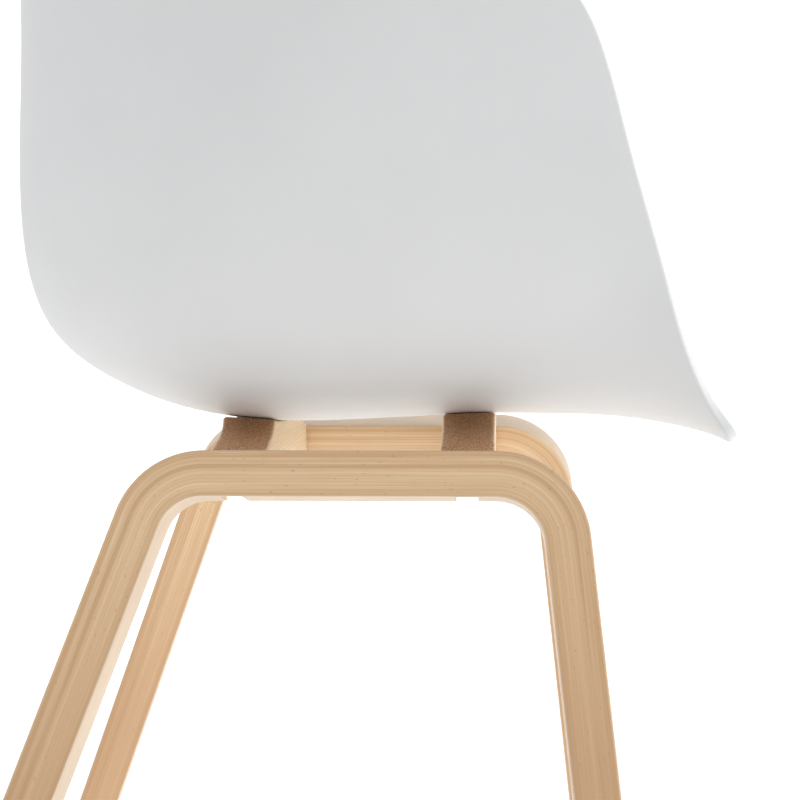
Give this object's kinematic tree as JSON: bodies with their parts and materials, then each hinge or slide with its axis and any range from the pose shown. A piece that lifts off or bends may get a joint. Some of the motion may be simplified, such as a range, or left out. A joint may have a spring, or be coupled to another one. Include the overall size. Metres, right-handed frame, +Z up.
{
  "type": "dining chair",
  "caption": "Dining armchair: a thin moulded bucket shell with arms, screwed to cross beams between bent laminated wood side frames with splayed legs.",
  "frame": {"origin": "on the floor, under the middle of the chair's bounding box", "axes": "+Z up, the chair faces -Y, the sitter's right is towards -X"},
  "size_m": [0.5892, 0.5214, 0.8006],
  "materials": {
    "shell": "fine-textured moulded polypropylene, off-white",
    "laminate": "clear matt lacquered beech-like lamination, ply edges showing",
    "beam_wood": "clear matt lacquered solid wood",
    "steel": "zinc-plated screws and washers",
    "brass": "turned brass",
    "glide": "matt nylon, slightly worn"
  },
  "bodies": {
    "root": {"seat_shell": "shell", "right_side_frame": "laminate", "left_side_frame": "laminate", "front_beam": "beam_wood", "rear_beam": "beam_wood", "thread_insert_front_right": "brass", "thread_insert_front_left": "brass", "thread_insert_rear_right": "brass", "thread_insert_rear_left": "brass", "seat_washer_front_right": "steel", "seat_washer_front_left": "steel", "seat_washer_rear_right": "steel", "seat_washer_rear_left": "steel", "seat_screw_front_right": "steel", "seat_screw_front_left": "steel", "seat_screw_rear_right": "steel", "seat_screw_rear_left": "steel", "frame_screw_front_right": "steel", "frame_screw_front_left": "steel", "frame_screw_rear_right": "steel", "frame_screw_rear_left": "steel", "glide_front_right": "glide", "glide_front_left": "glide", "glide_rear_right": "glide", "glide_rear_left": "glide", "glide_nail_front_right": "steel", "glide_nail_front_left": "steel", "glide_nail_rear_right": "steel", "glide_nail_rear_left": "steel"}
  },
  "joints": []
}
